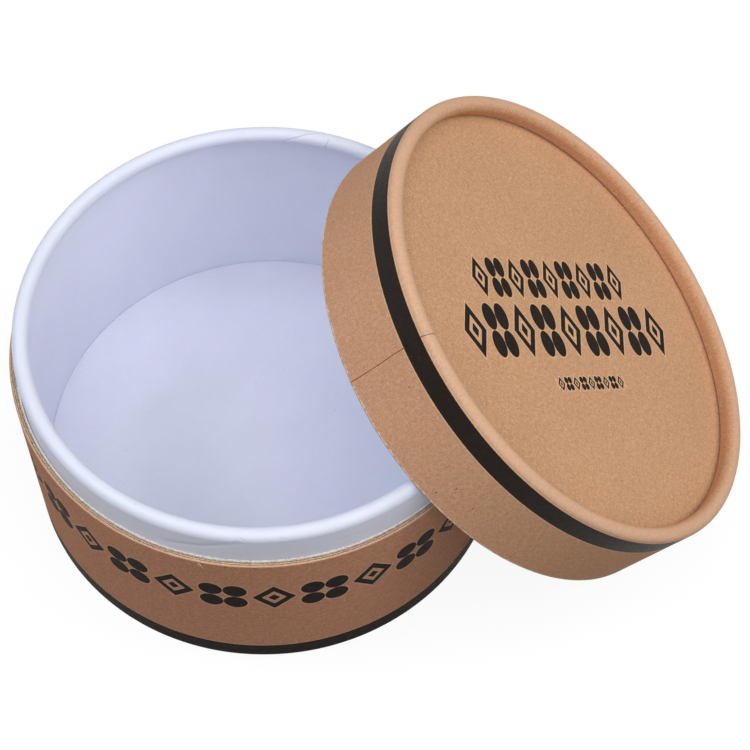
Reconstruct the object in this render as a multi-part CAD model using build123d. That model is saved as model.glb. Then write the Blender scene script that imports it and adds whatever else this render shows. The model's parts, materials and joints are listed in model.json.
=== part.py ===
from build123d import *
import math
import os

# Round rolled-edge paperboard box with its lid off and leaning on the rim.
#
# The base is a kraft-wrapped greyboard tube with a bottom disc set in it. A
# thinner white-lined neck tube stands inside it and rises above its raw top
# edge. The lid is a shallow kraft-wrapped tube that drops over the neck, with
# a disc set in below a rolled edge. Every layer is its own sheet or board,
# one glue line apart.
#
# Frame: origin on the table at the centre of the base's underside, +Z up.
# The lid leans towards +X. All sizes are in millimetres.

# ---- driving dimensions -------------------------------------------------

# Base: outer tube
base_radius = 60.0          # outside of the printed kraft wrap
base_tube_height = 50.0     # table to the raw top edge
tube_ply = 0.62             # each of the two greyboard plies
tube_liner = 0.12           # white sheet inside the tube
foot_round = 0.2            # round of the wrap where it turns under the tube
foot_turn_in = 8.0          # how far the wrap reaches under the tube

# Base: bottom disc
bottom_ply = 0.93           # each of the two greyboard discs
bottom_facing = 0.25        # kraft sheet on the underside
bottom_facing_inset = 2.5   # its edge lies this far inside the foot
floor_paper = 0.12          # white sheet on the inside floor
floor_crevice = 0.25        # dark gap round the white floor sheet

# Base: neck tube with its rolled rim
neck_height = 60.0          # table to the crest of the rolled rim
neck_ply = 0.44             # each of the two board plies
neck_paper = 0.15           # white sheet over both faces of the neck
neck_paper_tuck = 8.0       # its outside edge lies this far below the tube's top
rim_roll_radius = 1.9       # outside radius of the rolled rim
neck_play = 0.15            # gap between the outer tube and the neck

# Lid
lid_clearance = 0.30        # radial play of the lid on the neck
lid_height = 25.0           # cut edge to the crest of the rolled edge
lid_board = 0.60            # wound board of the lid's tube
lid_lining = 0.12           # white sheet inside the tube
lid_lining_inset = 0.3      # it stops this far above the cut edge
lid_roll_radius = 2.0       # outside radius of the rolled edge
lid_recess = 4.95           # crest of the rolled edge down to the disc
lid_disc_ply = 2.125        # each of the two boards in the disc
lid_facing = 0.25           # kraft sheet on top of the disc
lid_crevice = 0.30          # gap between the rolled sheet's end and the top sheet
lid_backing = 0.12          # white sheet under the disc
wrap_setback = 0.4          # the lid's wrap stops this short of the cut edge

# Shared sheets and glue
wrap_sheet = 0.25           # kraft paper round both tubes
glue_line = 0.03            # film between neighbouring layers
disc_play = 0.05            # radial play of a disc set in a tube
seam_gap = 0.15             # butt joint in a wrapped sheet
roll_turn = 225.0           # how far a rolled edge turns, in degrees
lid_sheet_turn = 193.0      # how far the lid's sheet turns before it drops to the disc

# Rest pose of the lid, and the seams
lean_angle = 40.0           # tilt of the lid's axis from upright
rest_gap = 0.30             # lid to rim, where it leans
lid_seam_angle = 207.0      # direction of the lid wrap's joint
base_seam_angle = 90.0      # direction of the base wrap's joint

# ---- radii, counted inwards from the base's wrap ------------------------

tube_outer_ply_r = base_radius - wrap_sheet - glue_line
tube_inner_ply_r = tube_outer_ply_r - tube_ply - glue_line
tube_liner_r = tube_inner_ply_r - tube_ply - glue_line
tube_bore_r = tube_liner_r - tube_liner
neck_r = tube_bore_r - neck_play
neck_outer_ply_r = neck_r - neck_paper - glue_line
neck_inner_ply_r = neck_outer_ply_r - neck_ply - glue_line
neck_wall_r = neck_inner_ply_r - neck_ply - glue_line
neck_bore_r = neck_wall_r - neck_paper
rim_roll_r = neck_r - rim_roll_radius
rim_roll_z = neck_height - rim_roll_radius

# ---- heights of the base's bottom ---------------------------------------

foot_turn_z = bottom_facing + glue_line
tube_foot_z = foot_turn_z + wrap_sheet + glue_line
lower_disc_top = tube_foot_z + bottom_ply
upper_disc_z = lower_disc_top + glue_line
upper_disc_top = upper_disc_z + bottom_ply
neck_foot_z = upper_disc_top + glue_line
floor_z = neck_foot_z + floor_paper

# ---- radii of the lid, counted outwards from the neck it drops over -----

lid_bore_r = neck_r + lid_clearance
lid_board_in_r = lid_bore_r + lid_lining + glue_line
lid_board_out_r = lid_board_in_r + lid_board
lid_radius = lid_board_out_r + glue_line + wrap_sheet
lid_roll_r = lid_radius - lid_roll_radius
lid_roll_z = lid_height - lid_roll_radius

# ---- heights inside the lid, counted up from its cut edge ---------------

lid_disc_top = lid_height - lid_recess
upper_board_top = lid_disc_top - lid_facing - glue_line
lower_board_top = upper_board_top - lid_disc_ply - glue_line
backing_top = lower_board_top - lid_disc_ply - glue_line
lid_ceiling = backing_top - lid_backing


# ---- shapes -------------------------------------------------------------

def turned(points):
    """Solid of revolution round Z of a closed outline of (radius, height) points."""
    outline = make_face(Polyline(*points, close=True))
    return revolve(Plane.XZ * outline, Axis.Z)


def hoop(r_out, r_in, z_low, z_high):
    """Straight tube wall."""
    return turned([(r_in, z_low), (r_out, z_low), (r_out, z_high), (r_in, z_high)])


def disc(radius, z_low, z_high):
    """Flat round board or sheet."""
    return turned([(0, z_low), (radius, z_low), (radius, z_high), (0, z_high)])


def on_circle(centre, radius, angle):
    """Point at an angle in degrees on a circle in the outline's plane."""
    turn = math.radians(angle)
    return (centre[0] + radius * math.cos(turn), centre[1] + radius * math.sin(turn))


def rolled_wall(r_out, r_in, z_low, centre):
    """Board wall whose top is rolled inwards round a centre, as one hook."""
    outer, inner = r_out - centre[0], r_in - centre[0]
    outline = Polyline((r_in, centre[1]), (r_in, z_low), (r_out, z_low), (r_out, centre[1]))
    outline += CenterArc(centre, outer, 0, roll_turn)
    outline += Line(on_circle(centre, outer, roll_turn), on_circle(centre, inner, roll_turn))
    outline += CenterArc(centre, inner, 0, roll_turn)
    return revolve(Plane.XZ * make_face(outline), Axis.Z)


def rolled_sheet(r_out, thickness, z_low, centre, wall_r, z_end):
    """Sheet up the outside, over a rolled edge, and down the inside wall.

    It leaves the roll along the tangent at roll_turn, slants back to the wall
    at radius wall_r and follows it down to z_end.
    """
    outer = r_out - centre[0]
    inner = outer - thickness
    slope = math.radians(roll_turn + 90)
    fall = math.tan(slope)
    seen = on_circle(centre, outer, roll_turn)
    hidden = on_circle(centre, inner, roll_turn)
    back_r = wall_r + thickness
    seen_knee = (wall_r, seen[1] + (wall_r - seen[0]) * fall)
    hidden_knee = (back_r, hidden[1] + (back_r - hidden[0]) * fall)
    r_in = r_out - thickness
    outline = Polyline((r_in, centre[1]), (r_in, z_low), (r_out, z_low), (r_out, centre[1]))
    outline += CenterArc(centre, outer, 0, roll_turn)
    outline += Polyline(seen, seen_knee, (wall_r, z_end), (back_r, z_end), hidden_knee, hidden)
    outline += CenterArc(centre, inner, 0, roll_turn)
    return revolve(Plane.XZ * make_face(outline), Axis.Z)


def dropped_sheet(r_out, thickness, z_low, centre, turn, z_end):
    """Sheet up the outside and over a rolled edge, which then drops along its tangent to z_end."""
    outer = r_out - centre[0]
    inner = outer - thickness
    slope = math.radians(turn)
    seen = on_circle(centre, outer, turn)
    hidden = on_circle(centre, inner, turn)
    drop = (z_end - seen[1]) / math.cos(slope)
    across, down = -math.sin(slope) * drop, math.cos(slope) * drop
    r_in = r_out - thickness
    outline = Polyline((r_in, centre[1]), (r_in, z_low), (r_out, z_low), (r_out, centre[1]))
    outline += CenterArc(centre, outer, 0, turn)
    outline += Polyline(seen, (seen[0] + across, seen[1] + down),
                        (hidden[0] + across, hidden[1] + down), hidden)
    outline += CenterArc(centre, inner, 0, turn)
    return revolve(Plane.XZ * make_face(outline), Axis.Z)


def seamed(sheet, angle, reach):
    """A wrapped sheet with the narrow butt joint where its two ends meet."""
    slot = Box(reach, seam_gap, 3 * reach, align=(Align.MIN, Align.CENTER, Align.CENTER))
    return sheet - Rot(0, 0, angle) * slot


# ---- base ---------------------------------------------------------------

def base_parts():
    """Every layer of the base, by node name."""
    wrap_in_r = base_radius - wrap_sheet
    turn_in_r = base_radius - foot_turn_in
    wrap_outline = turned([
        (wrap_in_r, base_tube_height),
        (wrap_in_r, foot_turn_z + wrap_sheet),
        (turn_in_r, foot_turn_z + wrap_sheet),
        (turn_in_r, foot_turn_z),
        (base_radius, foot_turn_z),
        (base_radius, base_tube_height),
    ])
    foot_edge = wrap_outline.edges().filter_by(GeomType.CIRCLE).group_by(Axis.Z)[0]
    foot_edge = foot_edge.sort_by(SortBy.RADIUS)[-1]
    wrap = fillet(foot_edge, min(foot_round, wrap_sheet * 0.8))

    rim = (rim_roll_r, rim_roll_z)
    step_r = turn_in_r - glue_line
    disc_r = tube_bore_r - disc_play
    recessed = turned([
        (0, foot_turn_z),
        (step_r, foot_turn_z),
        (step_r, tube_foot_z),
        (disc_r, tube_foot_z),
        (disc_r, lower_disc_top),
        (0, lower_disc_top),
    ])
    return {
        "base_wrap": seamed(wrap, base_seam_angle, base_radius * 2),
        "tube_outer_ply": hoop(tube_outer_ply_r, tube_outer_ply_r - tube_ply,
                               tube_foot_z, base_tube_height),
        "tube_inner_ply": hoop(tube_inner_ply_r, tube_inner_ply_r - tube_ply,
                               tube_foot_z, base_tube_height),
        "tube_liner": hoop(tube_liner_r, tube_bore_r, tube_foot_z, base_tube_height),
        "bottom_facing": disc(base_radius - bottom_facing_inset, 0, bottom_facing),
        "bottom_lower_board": recessed,
        "bottom_upper_board": disc(disc_r, upper_disc_z, upper_disc_top),
        "floor_paper": disc(neck_bore_r - floor_crevice, neck_foot_z, floor_z),
        "neck_outer_ply": rolled_wall(neck_outer_ply_r, neck_outer_ply_r - neck_ply,
                                      neck_foot_z, rim),
        "neck_inner_ply": rolled_wall(neck_inner_ply_r, neck_wall_r + glue_line,
                                      neck_foot_z, rim),
        "neck_paper": rolled_sheet(neck_r, neck_paper, base_tube_height - neck_paper_tuck,
                                   rim, neck_bore_r, neck_foot_z),
    }


# ---- lid, upright on its cut edge ---------------------------------------

def lid_parts():
    """Every layer of the lid, by node name, standing on z = 0."""
    roll = (lid_roll_r, lid_roll_z)
    disc_r = lid_board_in_r - disc_play
    wrap = dropped_sheet(lid_radius, wrap_sheet, wrap_setback,
                         roll, lid_sheet_turn, lid_disc_top + lid_crevice)
    return {
        "lid_wrap": seamed(wrap, lid_seam_angle, lid_radius * 2),
        "lid_tube_board": rolled_wall(lid_board_out_r, lid_board_in_r, 0, roll),
        "lid_lining": hoop(lid_board_in_r - glue_line, lid_bore_r,
                           lid_lining_inset, lid_ceiling - glue_line),
        "lid_facing": disc(disc_r, upper_board_top + glue_line, lid_disc_top),
        "lid_upper_board": disc(disc_r, lower_board_top + glue_line, upper_board_top),
        "lid_lower_board": disc(disc_r, backing_top + glue_line, lower_board_top),
        "lid_backing": disc(disc_r, lid_ceiling, backing_top),
    }


# ---- how the lid leans --------------------------------------------------

def lid_gap(lid_x, lid_z):
    """Least distance from the lid's ceiling or cut edge to the base, for a cut edge centred there."""
    tilt = math.radians(lean_angle)

    def below_ceiling(radius, height):
        return (lid_ceiling + (lid_x - radius) * math.sin(tilt)
                + (lid_z - height) * math.cos(tilt))

    gap = min(below_ceiling(rim_roll_r, rim_roll_z) - rim_roll_radius,
              below_ceiling(base_radius, base_tube_height))
    for edge_r in (lid_bore_r, lid_board_out_r):
        for step in range(720):
            turn = math.radians(step / 2)
            along = edge_r * math.cos(turn)
            out = math.hypot(lid_x + along * math.cos(tilt), edge_r * math.sin(turn))
            z = lid_z - along * math.sin(tilt)
            gap = min(gap, math.hypot(out - rim_roll_r, z - rim_roll_z) - rim_roll_radius)
            if z < base_tube_height:
                gap = min(gap, out - base_radius)
    return gap


def lid_seat():
    """Centre of the lid's cut edge when it stands on the table and leans on the rim."""
    lid_z = lid_board_out_r * math.sin(math.radians(lean_angle))
    near, far = 0, 3 * base_radius
    for _ in range(40):
        middle = (near + far) / 2
        if lid_gap(middle, lid_z) < rest_gap:
            near = middle
        else:
            far = middle
    return (far, 0, lid_z)


# ---- assembly -----------------------------------------------------------

os.makedirs("parts", exist_ok=True)

seat = lid_seat()
lean = Location(seat, (0, lean_angle, 0))
nodes = base_parts()
nodes.update({name: lean * solid for name, solid in lid_parts().items()})

for name, solid in nodes.items():
    export_step(solid, os.path.join("parts", name + ".step"))

print("closed height", round(base_tube_height + lid_height, 2))
print("neck radius", round(neck_r, 3), "lid radius", round(lid_radius, 3))
print("floor", round(floor_z, 3), "lid ceiling", round(lid_ceiling, 3))
print("lid seat", [round(value, 4) for value in seat])
print("bottom board radius", round(tube_bore_r - disc_play, 3), "neck bore", round(neck_bore_r, 3))
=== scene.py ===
# %% [markdown]
# # A round kraft paperboard box, its lid leaning on the rim
#
# The box is all paper: a wound board tube wrapped in printed kraft, a white lined neck that
# stands up inside it, and a lid with a rolled edge. The lid leans on the neck's rim. The frame
# brings every board and sheet at its true place and size, in metres, and a body for each half:
# "base" stands on the floor and "lid" lifts off along its own axis.

# %% Load the frame
import json
import math

import bpy
import numpy as np
from mathutils import Matrix, Vector


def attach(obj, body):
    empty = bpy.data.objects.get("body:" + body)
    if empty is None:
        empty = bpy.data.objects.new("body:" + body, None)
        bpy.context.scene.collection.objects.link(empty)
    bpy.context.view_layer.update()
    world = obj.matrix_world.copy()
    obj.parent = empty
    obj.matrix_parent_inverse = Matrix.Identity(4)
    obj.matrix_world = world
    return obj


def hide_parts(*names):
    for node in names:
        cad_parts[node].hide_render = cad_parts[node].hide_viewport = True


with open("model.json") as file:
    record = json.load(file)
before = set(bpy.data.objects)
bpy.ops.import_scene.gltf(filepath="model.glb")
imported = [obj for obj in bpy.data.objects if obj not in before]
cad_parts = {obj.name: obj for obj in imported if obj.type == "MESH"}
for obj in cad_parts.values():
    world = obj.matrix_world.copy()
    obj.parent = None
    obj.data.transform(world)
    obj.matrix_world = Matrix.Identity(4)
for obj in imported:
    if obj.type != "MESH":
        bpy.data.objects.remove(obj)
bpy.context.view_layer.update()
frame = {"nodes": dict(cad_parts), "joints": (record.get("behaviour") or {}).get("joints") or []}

MM = 0.001
print("pieces in the frame:", sorted(frame["nodes"]))

# %% [markdown]
# ## Where the lid is
#
# The lid leans, so it has its own directions: `up` is the lid's axis, which is also the way
# that it lifts off, `along` runs down the slope and `across` is level. Every lid shape is
# worked out upright, from the plane of its open edge, and then laid into the leaning place.

# %% Measure the lid's place


def corners(node):
    """The points of a CAD node's mesh as one array, in metres."""
    mesh = frame["nodes"][node].data
    points = np.empty(len(mesh.vertices) * 3)
    mesh.vertices.foreach_get("co", points)
    return points.reshape(-1, 3)


def turned_place(axis, across, node):
    """The 3x3 matrix with columns along, across, up, where along = across x up, and the middle of the
    node's box in these directions, at its lowest height."""
    up = np.array(axis) / np.linalg.norm(axis)
    along = np.cross(across, up)
    turn = np.stack([along, across, up], 1)
    inside = corners(node) @ turn
    middle = (inside.min(0) + inside.max(0)) / 2
    return turn, turn @ [middle[0], middle[1], inside[:, 2].min()]


joint = frame["joints"][0]
lid_turn, lid_seat = turned_place(joint["axis"], np.array([0.0, 1.0, 0.0]), "lid_tube_board")
UPRIGHT = (np.eye(3), np.zeros(3))
LEANING = (lid_turn, lid_seat)
print("lid's axis", lid_turn[:, 2].round(4), "open edge's centre in mm", (lid_seat / MM).round(2))


def reach(node, place):
    """A node's inner and outer radius, lowest and highest height in mm, in a place's directions."""
    turn, seat = place
    inside = (corners(node) - seat) @ turn / MM
    radii = np.hypot(inside[:, 0], inside[:, 1])
    return radii.min(), radii.max(), inside[:, 2].min(), inside[:, 2].max()


for node in ("base_wrap", "neck_paper", "lid_wrap", "lid_facing"):
    print(node, [round(float(v), 2) for v in reach(node, LEANING if "lid" in node else UPRIGHT)])

# %% [markdown]
# ## The camera
#
# The camera stands in front and well above, so that it looks into the open box and onto the
# lid's top. A long lens keeps the circles calm. The camera's matrix is written from its own
# three directions, because its slight roll is easier to give that way than by angles.

# %% Make the camera


def put(name, data):
    """A new object with that data, in the scene."""
    made = bpy.data.objects.new(name, data)
    bpy.context.scene.collection.objects.link(made)
    return made


LENS, SENSOR = 83.38, 36.0
camera_right = Vector((0.99717, -0.07125, 0.02391))
camera_up = Vector((0.04805, 0.84905, 0.52613))
camera_place = Vector((5.46, -226.648, 399.098)) * MM

camera_data = bpy.data.cameras.new("camera")
camera_data.lens, camera_data.sensor_width = LENS, SENSOR
camera_data.shift_x = -0.0176
camera_data.clip_start, camera_data.clip_end = 0.01, 20.0
camera = put("camera", camera_data)
camera.matrix_world = Matrix.Translation(camera_place) @ Matrix(
    (camera_right, camera_up, camera_right.cross(camera_up))).transposed().to_4x4()
bpy.context.scene.camera = camera
print("camera", LENS, "mm lens,", round(camera_place.length, 3), "m from the box")

# %% [markdown]
# ## Nodes in few words
#
# A material is a little graph. These helpers add one node, one sum or one blend and hand back
# its output, so that a pattern reads like a formula. A helper takes plain numbers or other
# nodes' outputs alike, and works in the graph that those outputs belong to.

# %% Helpers for nodes


def join(value, socket):
    """Links an output to a socket, or writes a plain value into it."""
    if isinstance(value, bpy.types.NodeSocket):
        socket.id_data.links.new(value, socket)
    elif value is not None:
        socket.default_value = value


def tree_of(values):
    """The graph that the first output among the values belongs to."""
    return next(value.id_data for value in values if isinstance(value, bpy.types.NodeSocket))


def fresh(tree, kind, inputs=(), **settings):
    """One new shader node of that kind in a graph, with its settings and inputs."""
    made = tree.nodes.new("ShaderNode" + kind)
    for name, value in settings.items():
        setattr(made, name, value)
    for name, value in dict(inputs).items():
        join(value, made.inputs[name])
    return made


def node(kind, inputs, **settings):
    """The outputs of a new shader node, made in the graph that its inputs come from."""
    inputs = dict(inputs)
    return fresh(tree_of(inputs.values()), kind, inputs, **settings).outputs


def calc(operation, *values):
    """The result of one Math node."""
    return node("Math", enumerate(values), operation=operation)[0]


def plus(first, second):
    """first + second."""
    return calc("ADD", first, second)


def minus(first, second):
    """first - second."""
    return calc("SUBTRACT", first, second)


def times(first, second):
    """first · second."""
    return calc("MULTIPLY", first, second)


def swing(value, amount):
    """A noise from 0 to 1 as a swing either side of 0: (value - 0.5) · amount."""
    return times(minus(value, 0.5), amount)


def smooth(value, low, high, start=0.0, end=1.0):
    """Goes smoothly from start to end as value goes from low to high."""
    ends = {"From Min": low, "From Max": high, "To Min": start, "To Max": end}
    return node("MapRange", {"Value": value, **ends}, interpolation_type="SMOOTHSTEP")[0]


def blend(factor, first, second):
    """Two colours mixed by factor."""
    return node("Mix", {0: factor, 6: first, 7: second}, data_type="RGBA")[2]


def cover(colour, mask, amount, other):
    """A colour with another laid over it, by amount where the mask is 1."""
    return blend(times(mask, amount), colour, other)


def tinted(colour, value, saturation=1.0):
    """A colour with its value and saturation multiplied."""
    return node("HueSaturation", {"Color": colour, "Value": value, "Saturation": saturation})[0]


def noise(place, scale, detail=2.0, roughness=0.5, distortion=0.0):
    """Noise from 0 to 1, with about scale waves to a mm."""
    return node("TexNoise", {"Vector": place, "Scale": scale, "Detail": detail,
                             "Roughness": roughness, "Distortion": distortion})[0]


def vector(operation, first, second, output=0):
    """The result of one Vector Math node."""
    return node("VectorMath", {0: first, 1: second}, operation=operation)[output]


def scaled(place, amount):
    """place multiplied by one amount."""
    return node("VectorMath", {0: place, "Scale": amount}, operation="SCALE")[0]


STOCK = ("Colour", "Roughness", "Relief")


def new_group(name, inputs, outputs=STOCK):
    """An empty shader node group: its tree, its inputs' outputs and its outputs' inputs. An input is a
    colour, a float or, when it has no value, a vector."""
    tree = bpy.data.node_groups.new(name, "ShaderNodeTree")
    for label, value in inputs.items():
        kind = {tuple: "Color", float: "Float"}.get(type(value), "Vector")
        made = tree.interface.new_socket(label, in_out="INPUT", socket_type="NodeSocket" + kind)
        if value is not None:
            made.default_value = value
    for label in outputs:
        kind = "Color" if label == "Colour" else "Float"
        tree.interface.new_socket(label, in_out="OUTPUT", socket_type="NodeSocket" + kind)
    return tree, tree.nodes.new("NodeGroupInput").outputs, tree.nodes.new("NodeGroupOutput").inputs


def give(out, *results):
    """Hands a stock's colour, roughness and relief on to its outputs."""
    for name, value in zip(STOCK, results):
        join(value, out[name])


def use(group, **inputs):
    """A node group placed where its inputs are. An underscore in an input's name stands for a space."""
    made = fresh(tree_of(inputs.values()), "Group")
    made.node_tree = group
    for name, value in inputs.items():
        join(value, made.inputs[name.replace("_", " ")])
    return made.outputs


def rgb(red, green, blue):
    """A colour from 0 to 255 screen values, made linear for the nodes: ((c + 0.055) / 1.055)^2.4."""
    return tuple(((c / 255 + 0.055) / 1.055) ** 2.4 for c in (red, green, blue)) + (1.0,)


print("node helpers are ready")

# %% [markdown]
# ## Kraft paper
#
# Kraft is unbleached pulp: a warm brown with cloudy patches, a fine mottle of lighter and
# darker fibres, curled single fibres, and now and then a dark fleck of bark or a pale shive.
# A thin line where a noise crosses its middle value makes a good curled fibre. The group is
# made once and every kraft sheet uses it with its own tone.

# %% Kraft group


def thin_lines(place, scale, width, distortion):
    """1 on curved lines where noise crosses 0.5, with breaks: 1 - smooth(|noise - 0.5|) times a gate."""
    crossing = calc("ABSOLUTE", minus(noise(place, scale, 1.0, 0.5, distortion), 0.5))
    gate = smooth(noise(place, scale * 1.7, 0.0), 0.52, 0.62)
    return times(smooth(crossing, 0.0, width, 1.0, 0.0), gate)


def flecks(place, scale, size, share):
    """1 in small grains: within size of a Voronoi cell's middle, where the cell's colour is under share."""
    cells = node("TexVoronoi", {"Vector": place, "Scale": scale})
    kept = node("SeparateColor", {0: cells["Color"]})
    near = smooth(cells["Distance"], size * 0.5, size, 1.0, 0.0)
    return times(near, calc("LESS_THAN", kept[0], share))


def build_kraft():
    """Colour = tone · clouds · mottle · grain, with fibres and flecks over it. Relief is in mm."""
    tree, given, out = new_group("kraft_stock", {"Place": None, "Tone": (0.6, 0.36, 0.2, 1.0), "Grain": 1.0})
    place, tone, grain = given["Place"], given["Tone"], given["Grain"]
    clouds = noise(place, 0.05, 2.0)
    mottle = noise(place, 1.3, 3.0, 0.7)
    fine = noise(place, 4.2, 2.0, 0.6)
    total = plus(swing(clouds, 0.13),
                 swing(mottle, 0.40))
    total = plus(total, swing(fine, 1.05))
    value = calc("MULTIPLY_ADD", total, grain, 1.0)
    colour = tinted(tone, value, smooth(mottle, 0.3, 0.7, 1.06, 0.95))
    pale = thin_lines(place, 0.62, 0.022, 1.4)
    dark = thin_lines(vector("MULTIPLY", place, (1.0, 1.2, 0.8)), 0.75, 0.016, 1.1)
    colour = cover(colour, pale, 0.22, rgb(238, 208, 172))
    colour = cover(colour, dark, 0.30, rgb(150, 98, 62))
    bark = flecks(vector("MULTIPLY", place, (1.0, 0.7, 0.8)), 0.36, 0.068, 0.45)
    shive = flecks(place, 0.55, 0.085, 0.6)
    colour = cover(colour, bark, 0.78, rgb(96, 56, 36))
    colour = cover(colour, shive, 0.75, rgb(250, 226, 176))
    relief = plus(times(fine, 0.018), times(mottle, 0.022))
    give(out, colour, smooth(mottle, 0.3, 0.7, 0.72, 0.88), calc("MULTIPLY_ADD", pale, 0.008, relief))
    return tree


kraft_stock = build_kraft()
print("kraft group has", len(kraft_stock.nodes), "nodes")

# %% [markdown]
# ## Printing ink
#
# The print is one dark ink, pressed on the kraft. Up close its edge is a little ragged, a thin
# pale halo of squeezed paper runs along it, and faint streaks and missed flecks show inside.
# The group only needs to know how far a point is from the printed shape's edge, in mm, with
# minus inside. So a band, a lozenge or a clover are all the same to it.

# %% Ink group


def build_ink():
    """Ink where distance + raggedness < 0, and a pale halo where it is 0 to 0.4 mm outside."""
    tree, given, out = new_group(
        "ink_print", {"Place": None, "Paper": (0.6, 0.36, 0.2, 1.0), "Roughness": 0.8, "Relief": 0.0,
                      "Distance": 1.0, "Ink": (0.03, 0.025, 0.02, 1.0)})
    place = given["Place"]
    ragged = minus(noise(place, 2.2, 2.0), 0.5)
    edge = calc("MULTIPLY_ADD", ragged, 0.16, given["Distance"])
    inked = smooth(edge, -0.06, 0.07, 1.0, 0.0)
    beside = calc("ABSOLUTE", minus(edge, 0.17))
    halo = smooth(beside, 0.03, 0.20, 0.55, 0.0)
    paper = blend(halo, given["Paper"], rgb(240, 205, 165))
    streak = noise(vector("MULTIPLY", place, (0.5, 0.5, 2.6)), 1.5, 3.0, 0.7)
    tone = tinted(given["Ink"], smooth(streak, 0.25, 0.8, 0.65, 1.5))
    missed = flecks(place, 0.6, 0.09, 0.6)
    tone = cover(tone, missed, 0.14, given["Paper"])
    give(out, blend(inked, paper, tone), calc("MULTIPLY_ADD", inked, -0.28, given["Roughness"]),
         calc("MULTIPLY_ADD", inked, -0.006, given["Relief"]))
    return tree


ink_print = build_ink()
INK = rgb(32, 24, 19)

# %% [markdown]
# ## The printed ornament
#
# A frieze of hollow lozenges and four-leaved clovers runs round the base and in three rows
# on the lid's top. Each shape is a small distance formula, and wrapping the length to one
# pitch repeats it. The frieze is a group because the base and the lid both print it.

# %% Frieze group


def lozenge(length, height, half_length, half_height):
    """Distance to a lozenge: (|x|/a + |y|/b - 1) · ab / sqrt(a² + b²)."""
    total = plus(calc("DIVIDE", calc("ABSOLUTE", length), half_length),
                 calc("DIVIDE", calc("ABSOLUTE", height), half_height))
    slant = calc("SQRT", plus(times(half_length, half_length), times(half_height, half_height)))
    scale = calc("DIVIDE", times(half_length, half_height), slant)
    return times(minus(total, 1.0), scale)


def clover(length, height, half_length, half_height):
    """Distance to four discs in a square: (|(|x| - 1/2, |y| - 1/2)| - 0.49) · b, for x and y over a and b."""
    x = minus(calc("ABSOLUTE", calc("DIVIDE", length, half_length)), 0.5)
    y = minus(calc("ABSOLUTE", calc("DIVIDE", height, half_height)), 0.5)
    away = calc("SQRT", plus(times(x, x), times(y, y)))
    return times(minus(away, 0.49), half_height)


def build_frieze():
    """Distance = the least of each shape's. They repeat every Pitch, and the row ends at Reach pitches."""
    tree, given, out = new_group(
        "frieze", {"Length": 0.0, "Height": 0.0, "Pitch": 10.0, "Half Height": 5.0, "Reach": 2.25},
        ["Distance"])
    length, height, pitch, half = (given[k] for k in ("Length", "Height", "Pitch", "Half Height"))
    middle = times(pitch, 0.5)
    first, second = (calc("WRAP", value, middle, times(middle, -1.0))
                     for value in (length, plus(length, middle)))
    wide = times(pitch, 0.215)
    outer = lozenge(first, height, wide, half)
    inner, core = (lozenge(first, height, times(wide, share), times(half, share)) for share in (0.56, 0.28))
    hollow = calc("MINIMUM", calc("MAXIMUM", outer, times(inner, -1.0)), core)
    petals = clover(second, height, times(pitch, 0.24), half)
    shapes = calc("MINIMUM", hollow, petals)
    beyond = minus(calc("ABSOLUTE", length), times(pitch, given["Reach"]))
    join(calc("MAXIMUM", shapes, beyond), out["Distance"])
    return tree


frieze = build_frieze()
print("frieze group has", len(frieze.nodes), "nodes")

# %% [markdown]
# ## White lining paper
#
# The neck, floor and lining are a smooth white paper with a cool cast. It is nearly plain, but
# not quite: the light shows soft undulations where it is glued down, a fine tooth, and a few
# tiny specks of dust.

# %% White paper group


def build_white():
    """Colour = tone · soft clouds, darker on rare specks. Relief is in mm."""
    tree, given, out = new_group("white_stock", {"Place": None, "Tone": (0.6, 0.64, 0.76, 1.0)})
    place = given["Place"]
    clouds = noise(place, 0.09, 2.0)
    tooth = noise(place, 2.4, 3.0, 0.7)
    value = plus(smooth(clouds, 0.2, 0.8, 0.985, 1.015), smooth(tooth, 0.2, 0.8, -0.035, 0.035))
    colour = tinted(given["Tone"], value)
    dust = flecks(place, 0.24, 0.04, 0.6)
    colour = cover(colour, dust, 0.5, rgb(120, 116, 122))
    give(out, colour, smooth(tooth, 0.2, 0.8, 0.42, 0.52), plus(times(tooth, 0.006), times(clouds, 0.10)))
    return tree


white_stock = build_white()

# %% [markdown]
# ## Greyboard
#
# The boards are recycled pulp wound or pressed in plies. They show only at raw edges: a
# grey-tan felt of short fibres, with thin darker lines of painted shade between the plies.

# %% Greyboard group


def build_greyboard():
    """Colour = tone · felt, with pale hairs. Relief is in mm."""
    tree, given, out = new_group("greyboard_stock", {"Place": None, "Tone": (0.4, 0.34, 0.27, 1.0)})
    place = given["Place"]
    felt = noise(place, 1.8, 4.0, 0.75)
    colour = tinted(given["Tone"], smooth(felt, 0.25, 0.75, 0.62, 1.38))
    hairs = thin_lines(place, 1.1, 0.05, 1.0)
    colour = cover(colour, hairs, 0.6, rgb(232, 226, 214))
    give(out, colour, smooth(felt, 0.2, 0.8, 0.86, 0.97), times(felt, 0.12))
    return tree


greyboard_stock = build_greyboard()

# %% [markdown]
# ## Rubbed edges
#
# Where a sheet is cut, handling rubs it pale. The group turns a distance from such an edge
# into a soft, broken mask that the kraft finishes share.

# %% Rubbed edge group


def build_rubbed():
    """Mask = smooth fall over Width mm from the edge, broken up by noise."""
    tree, given, out = new_group("rubbed_edge", {"Place": None, "Distance": 10.0, "Width": 0.5}, ["Mask"])
    broken = smooth(noise(given["Place"], 0.9, 3.0, 0.6), 0.3, 0.7, -0.5, 0.5)
    moved = calc("MULTIPLY_ADD", broken, given["Width"], given["Distance"])
    near = calc("DIVIDE", moved, given["Width"])
    join(smooth(near, 0.0, 1.0, 1.0, 0.0), out["Mask"])
    return tree


rubbed_edge = build_rubbed()

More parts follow.
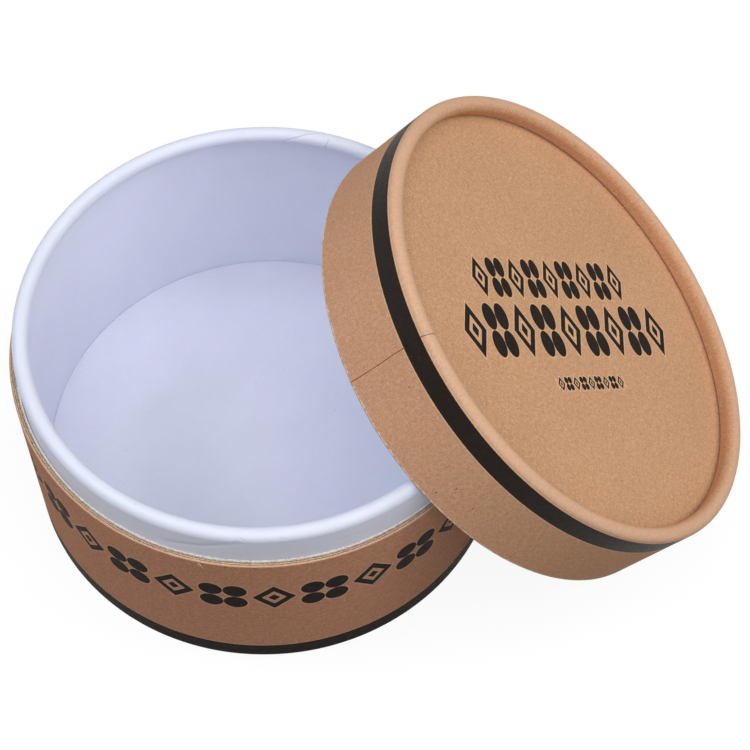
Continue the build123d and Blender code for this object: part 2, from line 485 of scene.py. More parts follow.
# %% [markdown]
# ## Finishes
#
# Each finish reads the piece's own place in mm, and a printed sheet also its own map: how far
# round and how far up the sheet a point is. The shader itself stays in the material, with the
# numbers that are the same all over written straight onto it.

# %% Start and end of a finish


def empty_graph(owner):
    """The empty node graph of a material or a sky."""
    owner.use_nodes = True
    owner.node_tree.nodes.clear()
    return owner.node_tree


def begin(name):
    """A new material: (material, place in mm, map's length, map's height)."""
    material = bpy.data.materials.new(name)
    tree = empty_graph(material)
    place = scaled(fresh(tree, "TexCoord").outputs["Object"], 1 / MM)
    sheet = node("SeparateXYZ", {0: fresh(tree, "UVMap", uv_map="sheet").outputs[0]})
    return material, place, sheet[0], sheet[1]


def end(paper, specular, colour=None, roughness=None, relief=None):
    """The Principled shader from a paper's outputs, or from what stands in for them."""
    bump = node("Bump", {"Height": relief or paper["Relief"], "Distance": MM, "Strength": 1.0})[0]
    shader = fresh(bump.id_data, "BsdfPrincipled", {"Base Color": colour or paper["Colour"], "Normal": bump,
                                                    "Roughness": roughness or paper["Roughness"]})
    shader.inputs["Specular IOR Level"].default_value = specular
    node("OutputMaterial", {0: shader.outputs[0]})


def flat_point(length, height):
    """A place on the flat sheet."""
    return node("CombineXYZ", {0: length, 1: height})[0]


def inked(place, paper, distance):
    """Kraft outputs with ink printed over them."""
    return use(ink_print, Place=place, Paper=paper["Colour"], Roughness=paper["Roughness"],
               Relief=paper["Relief"], Distance=distance, Ink=INK)


# %% [markdown]
# The base's wrap carries a black band round its foot and the frieze round its wall. Near its
# cut top edge the sheet is rubbed pale.

# %% Base wrap finish
BASE_RADIUS, BASE_TOP = (reach("base_wrap", UPRIGHT)[i] for i in (1, 3))
BAND_TOP = 6.3
FRIEZE_LOW, FRIEZE_HIGH = 28.2, 39.8
FRIEZE_PITCH = 2 * math.pi * BASE_RADIUS / 16
ENDLESS = 99.0

base_kraft, place, length, height = begin("base_kraft")
paper = use(kraft_stock, Place=flat_point(times(length, 0.38), times(height, 1.0)),
            Tone=rgb(204, 148, 116), Grain=1.25)
row = use(frieze, Length=length, Pitch=FRIEZE_PITCH, Reach=ENDLESS,
          Half_Height=(FRIEZE_HIGH - FRIEZE_LOW) / 2, Height=minus(height, (FRIEZE_HIGH + FRIEZE_LOW) / 2))
band = minus(height, BAND_TOP)
printed = inked(place, paper, calc("MINIMUM", row["Distance"], band))
rub = use(rubbed_edge, Place=place, Width=0.5, Distance=minus(BASE_TOP, height))["Mask"]
end(printed, 0.02, cover(printed["Colour"], rub, 0.7, rgb(218, 180, 148)))

# %% [markdown]
# The lid's wrap has a black band just under the rolled edge. Over the roll the sheet is stretched
# and burnished, so it is a little smoother there, and it is paler there: partly burnish, partly
# a painted highlight along the roll.

# %% Lid wrap finish
LID_RADIUS = reach("lid_wrap", LEANING)[1]
STRIPE_LOW, STRIPE_HIGH = 17.8, 23.1
ROLL_TOP = 25.6
CUT_EDGE = 0.35
lid_kraft, place, length, height = begin("lid_kraft")
paper = use(kraft_stock, Place=flat_point(times(length, 1.0), times(height, 0.5)), Tone=rgb(208, 158, 122))
middle = (STRIPE_LOW + STRIPE_HIGH) / 2
band = minus(calc("ABSOLUTE", minus(height, middle)), STRIPE_HIGH - middle)
printed = inked(place, paper, band)
over = calc("ABSOLUTE", minus(height, ROLL_TOP))
# Over the roll: smoother, and paler in colour, partly burnish and partly a painted highlight.
burnish_and_highlight = smooth(over, 1.0, 2.8, 0.42, 0.0)
colour = blend(burnish_and_highlight, printed["Colour"], rgb(222, 188, 160))
rub = use(rubbed_edge, Place=place, Width=0.45, Distance=minus(height, CUT_EDGE))["Mask"]
colour = cover(colour, rub, 0.9, rgb(246, 226, 204))
end(printed, 0.11, colour, calc("MULTIPLY_ADD", burnish_and_highlight, -0.35, printed["Roughness"]))

# %% [markdown]
# The disc on the lid's top is its own sheet. Its map is turned so that the rows of ornament
# run a little uphill, as the sheet was laid.

# %% Lid disc finish
PRINT_TURN = math.radians(20.5)
ROW_ENDS = 2.24
ROWS = (("upper row", 10.3, 5.3, 13.3), ("middle row", -3.5, 7.0, 17.8), ("lower row", -17.4, 1.8, 5.9))
disc_kraft, place, length, height = begin("disc_kraft")
paper = use(kraft_stock, Place=place, Tone=rgb(204, 158, 121), Grain=1.2)
distance = 9.0
for label, centre, half, pitch in ROWS:
    row = use(frieze, Length=length, Height=minus(height, centre), Pitch=pitch, Half_Height=half,
              Reach=ROW_ENDS)
    distance = calc("MINIMUM", distance, row["Distance"])
    print(label, "is", 2 * half, "mm tall and", round(2 * pitch * ROW_ENDS, 1), "mm long")
end(inked(place, paper, distance), 0.05)

# %% [markdown]
# White paper, greyboard and plain kraft finish everything else.

# %% Plain finishes


def plain(name, group, tone, specular=0.1):
    """A finish straight from one paper group."""
    material, place, _, _ = begin(name)
    end(use(group, Place=place, Tone=tone), specular)
    return material


WHITE_TONE = rgb(235, 238, 251)
white_lining = plain("white_lining", white_stock, WHITE_TONE, 0.3)
raw_board = plain("raw_board", greyboard_stock, rgb(176, 160, 136))
brown_board = plain("brown_board", greyboard_stock, rgb(150, 104, 70))
plain_kraft = plain("plain_kraft", kraft_stock, rgb(196, 148, 112), 0.15)
torn_white = plain("torn_white", greyboard_stock, rgb(246, 243, 240))
loose_kraft = plain("loose_kraft", greyboard_stock, rgb(244, 214, 176))

# %% [markdown]
# The neck's sheet was pulled over the roll while it was damp. Over the roll it is painted a
# little darker, as painted shade that softens the highlight on the rim's crest.
# It has one slanting overlap, a few short puckers and a long soft wrinkle. Each is a straight
# line on the flat sheet, and the finish presses in the paper close to it and paints shade along it.
# The table gives each line's first and last point, half its width, how deep it is and how dark its painted
# shade is, in mm.

# %% Creased neck finish
CREASES = (
    ("overlap", (84.2, 64.3), (74.9, 60.6), 0.28, 0.12, 0.30),
    ("pucker", (71.5, 62.0), (72.1, 64.8), 0.30, 0.10, 0.35),
    ("nick", (74.1, 77.7), (75.0, 77.8), 0.25, 0.05, 0.20),
    ("dot", (274.0, 58.8), (274.7, 58.8), 0.20, 0.05, 0.45),
    ("tick", (276.5, 59.5), (277.9, 58.6), 0.25, 0.06, 0.12),
    ("long wrinkle", (249.7, 52.6), (258.2, 54.5), 1.3, 0.10, 0.08),
    ("rising wrinkle", (258.2, 54.5), (266.9, 58.1), 1.3, 0.12, 0.10),
    ("wrinkle's end", (267.4, 59.6), (268.6, 59.0), 0.30, 0.08, 0.10),
    ("low sweep", (289.5, 54.4), (296.5, 54.0), 0.45, 0.05, 0.05),
    ("left pucker", (213.3, 62.6), (214.9, 63.2), 0.40, 0.09, 0.12),
    ("left fold", (242.0, 61.2), (243.2, 62.0), 0.40, 0.07, 0.10))


def crease(point, first, last, half_width):
    """1 on the line from first to last, down to 0 at half_width off it: d = |p - clamp(p·v / v·v) v|."""
    way = Vector((last[0] - first[0], last[1] - first[1], 0.0))
    offset = vector("SUBTRACT", point, (first[0], first[1], 0.0))
    share = vector("DOT_PRODUCT", offset, way / way.length_squared, 1)
    share = calc("MINIMUM", calc("MAXIMUM", share, 0.0), 1.0)
    gap = vector("DISTANCE", offset, scaled(way, share), 1)
    return smooth(gap, 0.0, half_width, 1.0, 0.0)


NECK_CREST = 61.5
neck_white, place, length, height = begin("neck_white")
paper = use(white_stock, Place=place, Tone=WHITE_TONE)
wobble = swing(noise(place, 0.35, 2.0), 0.9)
point = vector("ADD", flat_point(length, height), flat_point(wobble, wobble))
shade, pressed = 0.0, paper["Relief"]
for label, first, last, half_width, depth, dark in CREASES:
    mask = crease(point, first, last, half_width)
    pressed = calc("MULTIPLY_ADD", mask, -depth, pressed)
    shade = calc("MULTIPLY_ADD", mask, dark, shade)
# Painted shade in the creases: the colour is darkened along each line.
colour = blend(shade, paper["Colour"], rgb(104, 104, 122))
# Painted shade over the roll's crest: the colour is darkened there to soften the rim's highlight.
over = smooth(calc("ABSOLUTE", minus(height, NECK_CREST)), 1.5, 4.5, 0.5, 0.0)
colour = blend(over, colour, rgb(214, 220, 234))
end(paper, 0.3, colour, relief=pressed)
print("neck finish has", len(CREASES), "creases")

# %% [markdown]
# The tube's top was parted with a knife. The outer ply is brown board, the inner one is grey,
# and a dark line of painted shade, for the narrow gap between plies, runs along each side of a ply.
# Next to the neck the grey ply has torn, so its white pulp stands out, with a line of painted shade
# at its edge. All of that depends only on how far out a point is.

# %% Cut ply finish


# The mask marks a thin line at a radius, which the cut ply finish darkens as painted shade for the gap
# between plies.
def build_ply_gap_shade():
    """Mask = 1 within Width mm of a Radius round the axis. Away is the rough distance past that radius."""
    tree, given, out = new_group("ply_gap_shade", {"Place": None, "Radius": 59.0, "Width": 0.1}, ["Mask", "Away"])
    flat = vector("MULTIPLY", given["Place"], (1.0, 1.0, 0.0))
    radius = node("VectorMath", {0: flat}, operation="LENGTH")[1]
    rough = swing(noise(given["Place"], 1.1, 3.0, 0.7), 0.5)
    away = minus(radius, plus(given["Radius"], rough))
    near = calc("DIVIDE", calc("ABSOLUTE", away), given["Width"])
    join(smooth(near, 0.3, 1.0, 1.0, 0.0), out["Mask"])
    join(away, out["Away"])
    return tree


ply_gap_shade = build_ply_gap_shade()


def cut_ply(name, tone, dark_radius, torn_radius):
    """A board finish with a line of painted shade at one radius, and white pulp inside another, edged with
    painted shade.
    """
    material, place, _, _ = begin(name)
    paper = use(greyboard_stock, Place=place, Tone=tone)
    line = use(ply_gap_shade, Place=place, Radius=dark_radius, Width=0.16)["Mask"]
    torn = use(ply_gap_shade, Place=place, Radius=torn_radius, Width=0.14)
    # Painted shade: dark lines at dark_radius and at the torn edge stand in for the shade in the narrow gaps
    # between plies.
    colour = cover(paper["Colour"], line, 0.75, rgb(92, 66, 50))
    colour = blend(smooth(torn["Away"], -0.06, 0.06, 1.0, 0.0), colour, rgb(240, 236, 232))
    colour = cover(colour, torn["Mask"], 0.35, rgb(110, 92, 76))
    end(paper, 0.1, colour)
    return material


NOT_TORN = 50.0
cut_brown = cut_ply("cut_brown_ply", rgb(216, 180, 148), 59.42, NOT_TORN)
cut_grey = cut_ply("cut_grey_ply", rgb(184, 168, 144), 59.03, 58.68)

# %% [markdown]
# ## Sheets bent round an axis
#
# Every visible sheet is a strip of paper bent round the box's axis. Its section is a line of
# points (radius, height), made of straight runs and turns. The strip is that line carried
# round, and its back is the same line moved in by the paper's thickness. A relief, worked out
# for every point at once, pushes both faces along the sheet's normal.

# %% Section helpers


def run(first, last, step):
    """Points on a straight line, about step apart, without the last."""
    first, last = np.array(first, float), np.array(last, float)
    count = max(1, round(np.linalg.norm(last - first) / step))
    return first + (last - first) * np.arange(count)[:, None] / count


def turn(centre, radius, begin_at, degrees, step):
    """Points centre + radius (cos t, sin t), with t from begin_at through degrees, without the last."""
    count = max(2, round(abs(math.radians(degrees)) * radius / step))
    t = np.radians(begin_at + degrees * np.arange(count) / count)
    return np.array(centre) + radius * np.stack([np.cos(t), np.sin(t)], 1)


def along(line):
    """Distance along a line of points from its first."""
    return np.concatenate([[0.0], np.cumsum(np.linalg.norm(np.diff(line, axis=0), axis=1))])


def sideways(line):
    """Unit normal on the right of a line of (radius, height) points: (dz, -dr) of the central difference."""
    d = np.gradient(line, axis=0)
    n = np.stack([d[:, 1], -d[:, 0]], 1)
    return n / np.linalg.norm(n, axis=1, keepdims=True)


def waves(angle, height, seed, count, size, tallest=6, round_most=24):
    """A soft relief that closes round the axis: the sum of count waves a cos(m t + k z + p), m whole."""
    draw = np.random.default_rng(seed)
    total = np.zeros(np.broadcast(angle, height).shape)
    for _ in range(count):
        m, k = draw.integers(1, round_most), draw.uniform(-1, 1) / tallest
        total = total + np.cos(m * angle + k * height + draw.uniform(0, 2 * np.pi)) / np.sqrt(m)
    return size * total / np.sqrt(count)


# %% [markdown]
# The mesh is two grids, the show face and the back, joined along their four edges. Rows run
# along the section and columns run round. The faces are made as index arrays, and the map is
# written for each face's corner, so that it doesn't break where the ring closes.

# %% Make a mesh from two grids


def quads(rows, columns, closed):
    """Index arrays (row, column) of each quad's four corners, for a grid whose columns may close."""
    k, j = np.meshgrid(np.arange(rows - 1), np.arange(columns if closed else columns - 1), indexing="ij")
    k, j = k.ravel(), j.ravel()
    return np.stack([k, k, k + 1, k + 1], 1), np.stack([j, j + 1, j + 1, j], 1)


def to_mesh(name, points, faces, corner_map, place, material, body, sharp=35.0):
    """An object from points in mm, (n, 4) faces with -1 for no corner, and a map for each corner."""
    turn_matrix, seat = place
    world = points @ turn_matrix.T * MM + seat
    used = faces >= 0
    sizes = used.sum(1)
    mesh = bpy.data.meshes.new(name)
    mesh.vertices.add(len(world))
    mesh.vertices.foreach_set("co", world.astype(np.float32).ravel())
    mesh.loops.add(int(sizes.sum()))
    mesh.loops.foreach_set("vertex_index", faces[used].astype(np.int32))
    mesh.polygons.add(len(faces))
    mesh.polygons.foreach_set("loop_start", (np.cumsum(sizes) - sizes).astype(np.int32))
    mesh.update(calc_edges=True)
    mesh.validate()
    sheet = mesh.uv_layers.new(name="sheet")
    sheet.uv.foreach_set("vector", corner_map[used].astype(np.float32).ravel())
    mesh.shade_smooth()
    mesh.set_sharp_from_angle(angle=math.radians(sharp))
    mesh.materials.append(material)
    piece = put(name, mesh)
    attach(piece, body)
    print(name, len(mesh.vertices), "points,", int((sizes - 2).sum()), "triangles")
    return piece


def bent_sheet(name, line, heights, thickness, angles, closed, relief, place, material, body):
    """A strip of paper: show(k, j) = line[k] + relief·n carried to angle a, back = show - thickness·n.
    angles is (K, J) in radians. relief is (K, J) in mm. The map is (angle · greatest radius, heights[k])."""
    n = sideways(line)
    offset = np.stack([relief, relief - thickness])
    radius = line[None, :, None, 0] + offset * n[None, :, None, 0]
    level = line[None, :, None, 1] + offset * n[None, :, None, 1]
    points = np.stack([radius * np.cos(angles), radius * np.sin(angles), level], -1).reshape(-1, 3)
    rows, columns = angles.shape
    size = rows * columns
    widest = line[:, 0].max()
    k, j = quads(rows, columns, closed)
    show = k * columns + j % columns
    around = angles[k, j % columns] + np.where(j >= columns, 2 * np.pi, 0.0)
    shown_map = np.stack([around * widest, heights[k]], -1)
    parts, maps = [show, (show + size)[:, ::-1]], [shown_map, shown_map[:, ::-1]]

    def edge(first, last, flip, angle, height):
        """Joins the two faces between show's points first and last, with one map point for each quad."""
        strip = np.stack([first, first + size, last + size, last], 1)
        parts.append(strip[:, ::-1] if flip else strip)
        spot = np.stack(np.broadcast_arrays(angle * widest, height), -1)
        maps.append(np.repeat(spot[:, None], 4, 1))

    ring = np.arange(columns if closed else columns - 1)
    for row, flip in ((0, False), (rows - 1, True)):
        here = row * columns
        edge(here + ring, here + (ring + 1) % columns, flip, angles[row, ring], heights[row])
    if not closed:
        rise = np.arange(rows - 1)
        for column, flip in ((0, True), (columns - 1, False)):
            here = rise * columns + column
            edge(here, here + columns, flip, angles[0, column], heights[rise])
    return to_mesh(name, points, np.concatenate(parts), np.concatenate(maps), place, material, body)


def ring_angles(rows, columns):
    """Angles of a closed ring's columns, the same in every row."""
    return np.tile(2 * np.pi * np.arange(columns) / columns, (rows, 1))


def open_angles(seam, gap, line, columns):
    """Angles from just after a seam right round to just before it: degrees for each row, and a gap in mm."""
    start = np.radians(seam) + gap / 2 / line[:, 0]
    whole = 2 * np.pi - gap / line[:, 0]
    return start[:, None] + whole[:, None] * np.linspace(0, 1, columns)


# %% [markdown]
# ## The base's wrap
#
# One printed kraft sheet is glued round the tube, turned in under its foot and butted at the
# back, where the two ends leave a hair's gap. Its top edge was cut with the tube, so it is not
# perfectly even. Soft waves a few hundredths of a mm deep keep the light from running too true.

# %% Base wrap
PAPER = 0.25
FOOT = 0.5
FINE_TOP = 1.0
BASE_SEAM, BASE_SEAM_GAP = 90.0, 0.15
base_inner, _, base_low, _ = reach("base_wrap", UPRIGHT)
foot_line = np.concatenate([
    run((base_inner, base_low), (BASE_RADIUS - FOOT, base_low), 1.0),
    turn((BASE_RADIUS - FOOT, base_low + FOOT), FOOT, -90, 90, 0.12),
    run((BASE_RADIUS, base_low + FOOT), (BASE_RADIUS, BASE_TOP - FINE_TOP), 0.9),
    run((BASE_RADIUS, BASE_TOP - FINE_TOP), (BASE_RADIUS, BASE_TOP), 0.2),
    [(BASE_RADIUS, BASE_TOP)]])
gone = along(foot_line)
printed_height = gone - gone[-1] + BASE_TOP
angles = open_angles(np.full(len(foot_line), BASE_SEAM), BASE_SEAM_GAP, foot_line, 620)
relief = waves(angles, foot_line[:, 1:2], 11, 14, 0.035)
near_top = np.exp(-((BASE_TOP - foot_line[:, 1:2]) / 0.5) ** 2)
relief = relief - near_top * np.abs(waves(angles, 0.0 * angles, 12, 40, 0.05, round_most=240))
base_wrap = bent_sheet("base_wrap_sheet", foot_line, printed_height, PAPER, angles, False, relief,
                       UPRIGHT, base_kraft, "base")
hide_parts("base_wrap")

# %% [markdown]
# ## The lid's wrap
#
# The lid's sheet starts at the open edge, runs up the side, rolls over the edge and drops onto
# the disc, where a hair of shadow shows under its end. Its two side ends meet in a butt joint
# that wanders a little over the roll.

# %% Lid wrap
lid_low, lid_top = reach("lid_wrap", LEANING)[2:]
LID_ROLL = 2.0
SHEET_TURN = 193.0
CREVICE = 0.30
LID_SEAM_GAP = 0.17
roll_centre = (LID_RADIUS - LID_ROLL, lid_top - LID_ROLL)
disc_high = reach("lid_facing", LEANING)[3]
print("lid's roll centred at", np.round(roll_centre, 2), "and disc's top at", round(disc_high, 2), "mm")

# %% [markdown]
# The lid and the neck both roll over their rims. Each section goes up the wall, round the roll
# and on in straight stops.

# %% Sections over a roll


def over_roll(outside, start_height, centre, roll, degrees):
    """A section up a wall and round a roll: its points, where it leaves the roll and which way."""
    turned_by = math.radians(degrees)
    leave = np.array(centre) + roll * np.array([math.cos(turned_by), math.sin(turned_by)])
    way = np.array([-math.sin(turned_by), math.cos(turned_by)])
    wall = run((outside, start_height), (outside, centre[1]), 1.0)
    return np.concatenate([wall, turn(centre, roll, 0, degrees, 0.2)]), leave, way


def finish_line(line, *stops):
    """The section carried on through straight stops (from, to, step)."""
    return np.concatenate([line] + [run(*stop) for stop in stops] + [[stops[-1][1]]])


# %% Bend the lid's sheet
line, leave, way = over_roll(LID_RADIUS, lid_low, roll_centre, LID_ROLL, SHEET_TURN)
foot = leave + way * (disc_high + CREVICE - leave[1]) / way[1]
lid_line = finish_line(line, (leave, foot, 0.3))
lid_height = lid_low + along(lid_line)
SEAM_HEIGHTS = (0.4, 3.4, 9.0, 13.4, 17.9, 19.3, 23.3, 27.6)
SEAM_DEGREES = (206.9, 207.02, 207.09, 207.03, 207.09, 206.85, 207.15, 207.67)
angles = open_angles(np.interp(lid_height, SEAM_HEIGHTS, SEAM_DEGREES), LID_SEAM_GAP, lid_line, 560)
from_seam = np.minimum(angles - angles[:, :1], angles[:, -1:] - angles) * LID_RADIUS
relief = waves(angles, lid_height[:, None], 21, 14, 0.03)
relief = relief + 0.05 * np.exp(-from_seam / 1.4) * (lid_height[:, None] < 20)
lid_wrap = bent_sheet("lid_wrap_sheet", lid_line, lid_height, PAPER, angles, False, relief,
                      LEANING, lid_kraft, "lid")
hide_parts("lid_wrap")

# %% [markdown]
# ## Round sheets
#
# The lid's disc and the floor are round sheets. Each is one closed skin: from the middle of
# its underside out to the edge, over it and back to the middle on top, with a fan of triangles
# closing each pole.

# %% Round sheet


def round_sheet(name, line, columns, relief, map_turn, place, material, body):
    """P(k, a) = (r cos a, r sin a, z + relief) for line points (r, z), with a pole before and after.
    The map is the same x and y, turned by -map_turn."""
    angle = 2 * np.pi * np.arange(columns) / columns
    radius, level = line[:, :1], line[:, 1:]
    grid = np.stack([radius * np.cos(angle), radius * np.sin(angle), level + relief], -1)
    poles = np.array([[0, 0, grid[0, :, 2].mean()], [0, 0, grid[-1, :, 2].mean()]])
    points = np.concatenate([grid.reshape(-1, 3), poles])
    k, j = quads(len(line), columns, True)
    body_faces = k * columns + j % columns
    ring = np.arange(columns)
    after = (ring + 1) % columns
    none = np.full(columns, -1)
    low = np.stack([np.full(columns, len(points) - 2), after, ring, none], 1)
    high = (len(line) - 1) * columns
    top = np.stack([high + ring, high + after, np.full(columns, len(points) - 1), none], 1)
    faces = np.concatenate([body_faces, low, top])
    c, s = math.cos(map_turn), math.sin(map_turn)
    flat = points[:, :2] @ np.array([[c, -s], [s, c]])
    return to_mesh(name, points, faces, flat[faces], place, material, body)


def sheet_section(radius, low, high, rounding, step):
    """From the middle of the underside to the rim, over a rounded upper edge and back to the middle."""
    return np.concatenate([
        run((6.0, low), (radius, low), 8.0),
        run((radius, low), (radius, high - rounding), 0.2),
        turn((radius - rounding, high - rounding), rounding, 0, 90, 0.08),
        run((radius - rounding, high), (1.0, high), step),
        [(1.0, high)]])


ROUND_COLUMNS = 360


def soft_top(line, last, *wave, **kinds):
    """A soft relief on a round sheet's last rows, which fades out over the 20 mm nearest its middle."""
    angle = 2 * np.pi * np.arange(ROUND_COLUMNS) / ROUND_COLUMNS
    on_top = (np.arange(len(line)) >= len(line) - last)[:, None]
    return waves(angle[None, :], line[:, :1], *wave, **kinds) * on_top * np.clip(line[:, :1] / 20, 0, 1)


# %% Lid disc
_, facing_radius, facing_low, facing_high = reach("lid_facing", LEANING)
line = sheet_section(facing_radius, facing_low, facing_high, 0.18, 1.1)
relief = soft_top(line, 52, 31, 12, 0.03, tallest=9, round_most=9)
lid_disc = round_sheet("lid_disc_sheet", line, ROUND_COLUMNS, relief, PRINT_TURN, LEANING, disc_kraft, "lid")
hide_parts("lid_facing")

# %% [markdown]
# ## The white neck
#
# One white sheet lines the neck, rolls over the rim and runs down its outside. It was pulled
# over the roll while damp, so it has a few shallow puckers near the crest, a longer furrow low
# on the front and one under the slanting overlap. All are pressed into its shape.

# %% Neck paper
NECK_PAPER = 0.15
RIM_ROLL = 1.9
RIM_TURN = 225.0
NECK_TUCK = 8.0
FLOOR_CREVICE = 0.25
_, floor_radius, floor_low, floor_high = reach("floor_paper", UPRIGHT)
_, NECK_RADIUS, neck_low, NECK_TOP = reach("neck_paper", UPRIGHT)
NECK_BORE = floor_radius + FLOOR_CREVICE
rim_centre = (NECK_RADIUS - RIM_ROLL, NECK_TOP - RIM_ROLL)
line, leave, way = over_roll(NECK_RADIUS, BASE_TOP - NECK_TUCK, rim_centre, RIM_ROLL, RIM_TURN)
knee = leave + way * (NECK_BORE - leave[0]) / way[0]
neck_line = finish_line(line, (leave, knee, 0.25), (knee, np.array([NECK_BORE, neck_low]), 1.3))
neck_height = BASE_TOP - NECK_TUCK + along(neck_line)
angles = ring_angles(len(neck_line), 400)
h = neck_height[:, None]
relief = waves(angles, h, 41, 16, 0.035, tallest=8)


def dent(centre_degrees, centre_height, wide, tall, depth, lean=0.0):
    """A soft furrow: -depth exp(-(x/wide)² - (y/tall)²), in mm round and up the sheet, x leaning with y."""
    x = (np.degrees(angles) - centre_degrees + 180) % 360 - 180
    x = np.radians(x) * NECK_RADIUS
    y = h - centre_height
    return -depth * np.exp(-((x - lean * y) / wide) ** 2 - (y / tall) ** 2)


CREST = rim_centre[1] + RIM_ROLL * math.pi / 2
DENTS = (
    (212.0, CREST + 1.4, 1.2, 1.0, 0.07, 0.3), (240.6, CREST - 1.2, 1.2, 1.0, 0.06, -0.4),
    (300.0, CREST - 1.0, 1.4, 1.0, 0.05, 0.5), (60.0, CREST, 1.2, 1.2, 0.05, 0.4),
    (256.5, 55.3, 3.0, 2.6, 0.12, 2.6), (78.3, 62.4, 1.8, 1.6, 0.07, 2.5))
for spot in DENTS:
    relief = relief + dent(*spot)
neck = bent_sheet("neck_lining_sheet", neck_line, neck_height, NECK_PAPER, angles, True, relief,
                  UPRIGHT, neck_white, "base")
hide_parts("neck_paper")

# %% [markdown]
# ## The floor
#
# A white disc glued on the inner board, with the faint rise and fall of wet glue under it.

# %% Floor sheet
FLOOR_PLAY = 0.05
line = sheet_section(NECK_BORE - FLOOR_PLAY, floor_low, floor_high, 0.08, 1.2)
relief = np.abs(soft_top(line, 46, 51, 10, 0.05, tallest=12, round_most=7))
floor_sheet = round_sheet("floor_sheet", line, ROUND_COLUMNS, relief, 0.0, UPRIGHT, white_lining, "base")
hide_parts("floor_paper")

# %% [markdown]
# ## The tube's raw cut edge
#
# The outer tube was parted with a knife, so its plies show at the top: two boards and a white
# liner, none of them quite level. The liner tore rather than cut and stands up in a ragged
# lip. The rings are thin sheets whose top row follows a rough height all the way round.

# %% Raw plies


RAGGED_ROWS = 1.2
RING_COLUMNS = 900


def raw_ring(name, node_name, ragged, lip, seed, material):
    """A ring like the CAD node's, with its last rows lifted by lip + ragged · a sum of short waves."""
    inner, outer, low, high = reach(node_name, UPRIGHT)
    fine_from = high - RAGGED_ROWS
    line = np.concatenate([run((outer, low), (outer, fine_from), 8.0),
                           run((outer, fine_from), (outer, high), 0.2), [(outer, high)]])
    ring = ring_angles(len(line), RING_COLUMNS)
    rough = waves(ring[0], 0 * ring[0], seed, 60, ragged, round_most=440)
    made = bent_sheet(name, line, along(line) + low, outer - inner, ring, True,
                      waves(ring, line[:, 1:2], seed + 1, 12, 0.01), UPRIGHT, material, "base")
    points = np.empty(len(made.data.vertices) * 3, np.float32)
    made.data.vertices.foreach_get("co", points)
    points = points.reshape(2, len(line), RING_COLUMNS, 3)
    share = np.clip((line[:, 1] - fine_from) / RAGGED_ROWS, 0, 1)[None, :, None]
    points[..., 2] += share * (lip + rough) * MM
    made.data.vertices.foreach_set("co", points.ravel())
    made.data.update()
    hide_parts(node_name)


raw_ring("outer_ply_ring", "tube_outer_ply", 0.05, -0.04, 61, cut_brown)
raw_ring("inner_ply_ring", "tube_inner_ply", 0.09, -0.06, 63, cut_grey)
raw_ring("liner_ring", "tube_liner", 0.12, 0.18, 65, torn_white)

# %% [markdown]
# ## Loose fibres
#
# Short hairs of pulp stand on the cut edge, and one longer thread hangs over the kraft. Each
# hair is a thin three-sided tube of a few faces that follows a small curve, and all of them
# are one mesh.

# %% Fibres


def unit(ways):
    """The same directions, each 1 long."""
    return ways / np.linalg.norm(ways, axis=-1, keepdims=True)


def round_axis(angle):
    """Level directions out from the axis and round it, at each angle."""
    c, s = np.cos(angle), np.sin(angle)
    return np.stack([c, s, 0 * angle], 1), np.stack([-s, c, 0 * angle], 1)


def hairs(name, start, way, length, curl, thickness, steps, material):
    """One mesh of closed three-sided tubes: start + way·length·t + curl·t², radius = thickness (1 - t/2)."""
    t = np.linspace(0, 1, steps)[None, :, None]
    centre = start[:, None] + way[:, None] * length[:, None, None] * t + curl[:, None] * t ** 2
    forward = unit(way[:, None] * length[:, None, None] + 2 * curl[:, None] * t)
    side = unit(np.cross(forward, [0.3, 0.2, 0.93]))
    other = np.cross(forward, side)
    spin = 2 * np.pi * np.arange(3) / 3
    radius = (thickness[:, None, None] * (1 - 0.5 * t))[:, :, None]
    ring = np.cos(spin)[:, None] * side[:, :, None] + np.sin(spin)[:, None] * other[:, :, None]
    points = (centre[:, :, None] + radius * ring).reshape(-1, 3)
    k, j = quads(steps, 3, True)
    last = (steps - 1) * 3
    shape = np.concatenate([k * 3 + j % 3, [[2, 1, 0, -1], [last, last + 1, last + 2, -1]]])
    first = (np.arange(len(start)) * steps * 3)[:, None, None]
    faces = np.where(shape[None] < 0, -1, shape[None] + first).reshape(-1, 4)
    made = to_mesh(name, points, faces, points[faces][..., :2], UPRIGHT, material, "base", 180.0)


UP = np.array([0.0, 0.0, 1.0])
EDGE_IN, EDGE_OUT = 58.30, 59.3
count = 420
draw = np.random.default_rng(71)
out, round_way = round_axis(draw.uniform(0, 2 * np.pi, count))
start = out * draw.uniform(EDGE_IN, EDGE_OUT, count)[:, None] + UP * (BASE_TOP - 0.05)
way = round_way * draw.normal(0, 1.0, count)[:, None] + out * draw.normal(0, 0.5, count)[:, None]
way = unit(way + UP * draw.uniform(0.05, 0.5, count)[:, None])
length = draw.uniform(0.3, 1.3, count)
curl = draw.normal(0, 0.16, (count, 3)) * length[:, None]
hairs("edge_fibres", start, way, length, curl, draw.uniform(0.018, 0.04, count), 5, torn_white)

# %% [markdown]
# The long thread starts in the torn liner, lies across the plies and hangs down the kraft.

# %% Long thread
out, _ = round_axis(np.radians([253.2, 253.9]))
start = out * EDGE_OUT + UP * (BASE_TOP + 0.15)
way = unit(out * 0.55 + np.array([0.60, 0.0, -0.15]))
curl = np.array([[0.3, 0.1, -1.5], [-0.9, -0.1, -0.9]])
hairs("loose_thread", start, way, np.array([2.4, 1.5]), curl, np.array([0.15, 0.11]), 10, loose_kraft)

# %% [markdown]
# ## Boards and hidden sheets
#
# The boards inside the walls, the lid's lining and the bottom's facing keep the CAD's own
# shapes. They get the same paper finishes as the sheets made here.

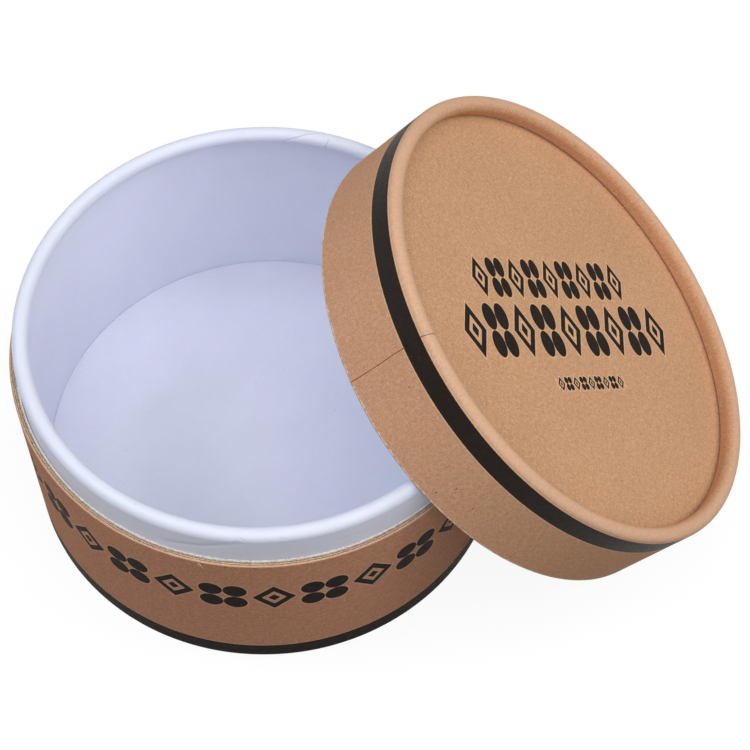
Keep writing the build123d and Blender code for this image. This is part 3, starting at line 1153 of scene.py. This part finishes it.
# %% Finish the CAD nodes
KEPT = {
    "bottom_facing": plain_kraft, "lid_tube_board": brown_board,
    "lid_lining": white_lining, "lid_backing": white_lining,
    **dict.fromkeys(("bottom_lower_board", "bottom_upper_board", "neck_outer_ply", "neck_inner_ply",
                     "lid_upper_board", "lid_lower_board"), raw_board)}
for name, material in KEPT.items():
    kept = frame["nodes"][name]
    kept.data.materials.clear()
    kept.data.materials.append(material)
print(len(KEPT), "CAD nodes keep their shapes")

# %% [markdown]
# ## Floor, lamps and sky
#
# The box stands on a plain pale floor. The sky is white to the camera and to anything shiny,
# and an even soft light to everything else. Four large soft lamps do the rest, one from above
# and one each from the right, the left and the front.

# %% Floor


def seen_white(tree):
    """1 for the camera's own rays and for rays off or through anything shiny."""
    path = fresh(tree, "LightPath").outputs
    seen = calc("MAXIMUM", path["Is Camera Ray"], path["Is Glossy Ray"])
    return calc("MAXIMUM", seen, path["Is Transmission Ray"])


floor_material = bpy.data.materials.new("pale_floor")
tree = empty_graph(floor_material)
shader = fresh(tree, "BsdfPrincipled", {"Base Color": (0.12, 0.12, 0.12, 1.0), "Roughness": 0.9,
                                        "Emission Color": (1.0, 1.0, 1.0, 1.0),
                                        "Emission Strength": times(seen_white(tree), 0.90)})
shader.inputs["Specular IOR Level"].default_value = 0.1
node("OutputMaterial", {0: shader.outputs[0]})
HALF, BELOW = 3.0, -0.0001
floor_mesh = bpy.data.meshes.new("floor")
floor_mesh.from_pydata([(x * HALF, y * HALF, BELOW) for x, y in ((-1, -1), (1, -1), (1, 1), (-1, 1))],
                       [], [(0, 1, 2, 3)])
floor_mesh.materials.append(floor_material)
floor = put("floor", floor_mesh)

# %% Sky
world = bpy.data.worlds.new("studio")
bpy.context.scene.world = world
tree = empty_graph(world)
soft = fresh(tree, "Background", {"Color": (0.97, 0.98, 1.0, 1.0), "Strength": 0.08})
white = fresh(tree, "Background", {"Color": (1.0, 1.0, 1.0, 1.0), "Strength": 1.0})
mixed = node("MixShader", {0: seen_white(tree), 1: soft.outputs[0], 2: white.outputs[0]})
node("OutputWorld", {0: mixed[0]})

# %% Lamps
AIM = Vector((0.0, 0.0, 0.03))


def lamp(name, place, size, power, colour):
    """A square area lamp that faces the box."""
    data = bpy.data.lights.new(name, "AREA")
    data.size, data.energy, data.color = size, power, colour
    made = put(name, data)
    made.location = place
    made.rotation_euler = (AIM - Vector(place)).to_track_quat("-Z", "Y").to_euler()


lamp("top", (0.0, 0.0, 1.0), 0.6, 2.6, (1.0, 1.0, 1.0))
lamp("right", (0.74, 0.0, 0.70), 0.6, 4.1, (1.0, 0.99, 0.97))
lamp("left", (-0.74, 0.05, 0.70), 0.6, 3.6, (0.95, 0.99, 1.07))
lamp("front", (0.11, -0.71, 0.72), 1.0, 4.4, (0.97, 0.99, 1.04))
bpy.context.scene.view_settings.view_transform = "Standard"
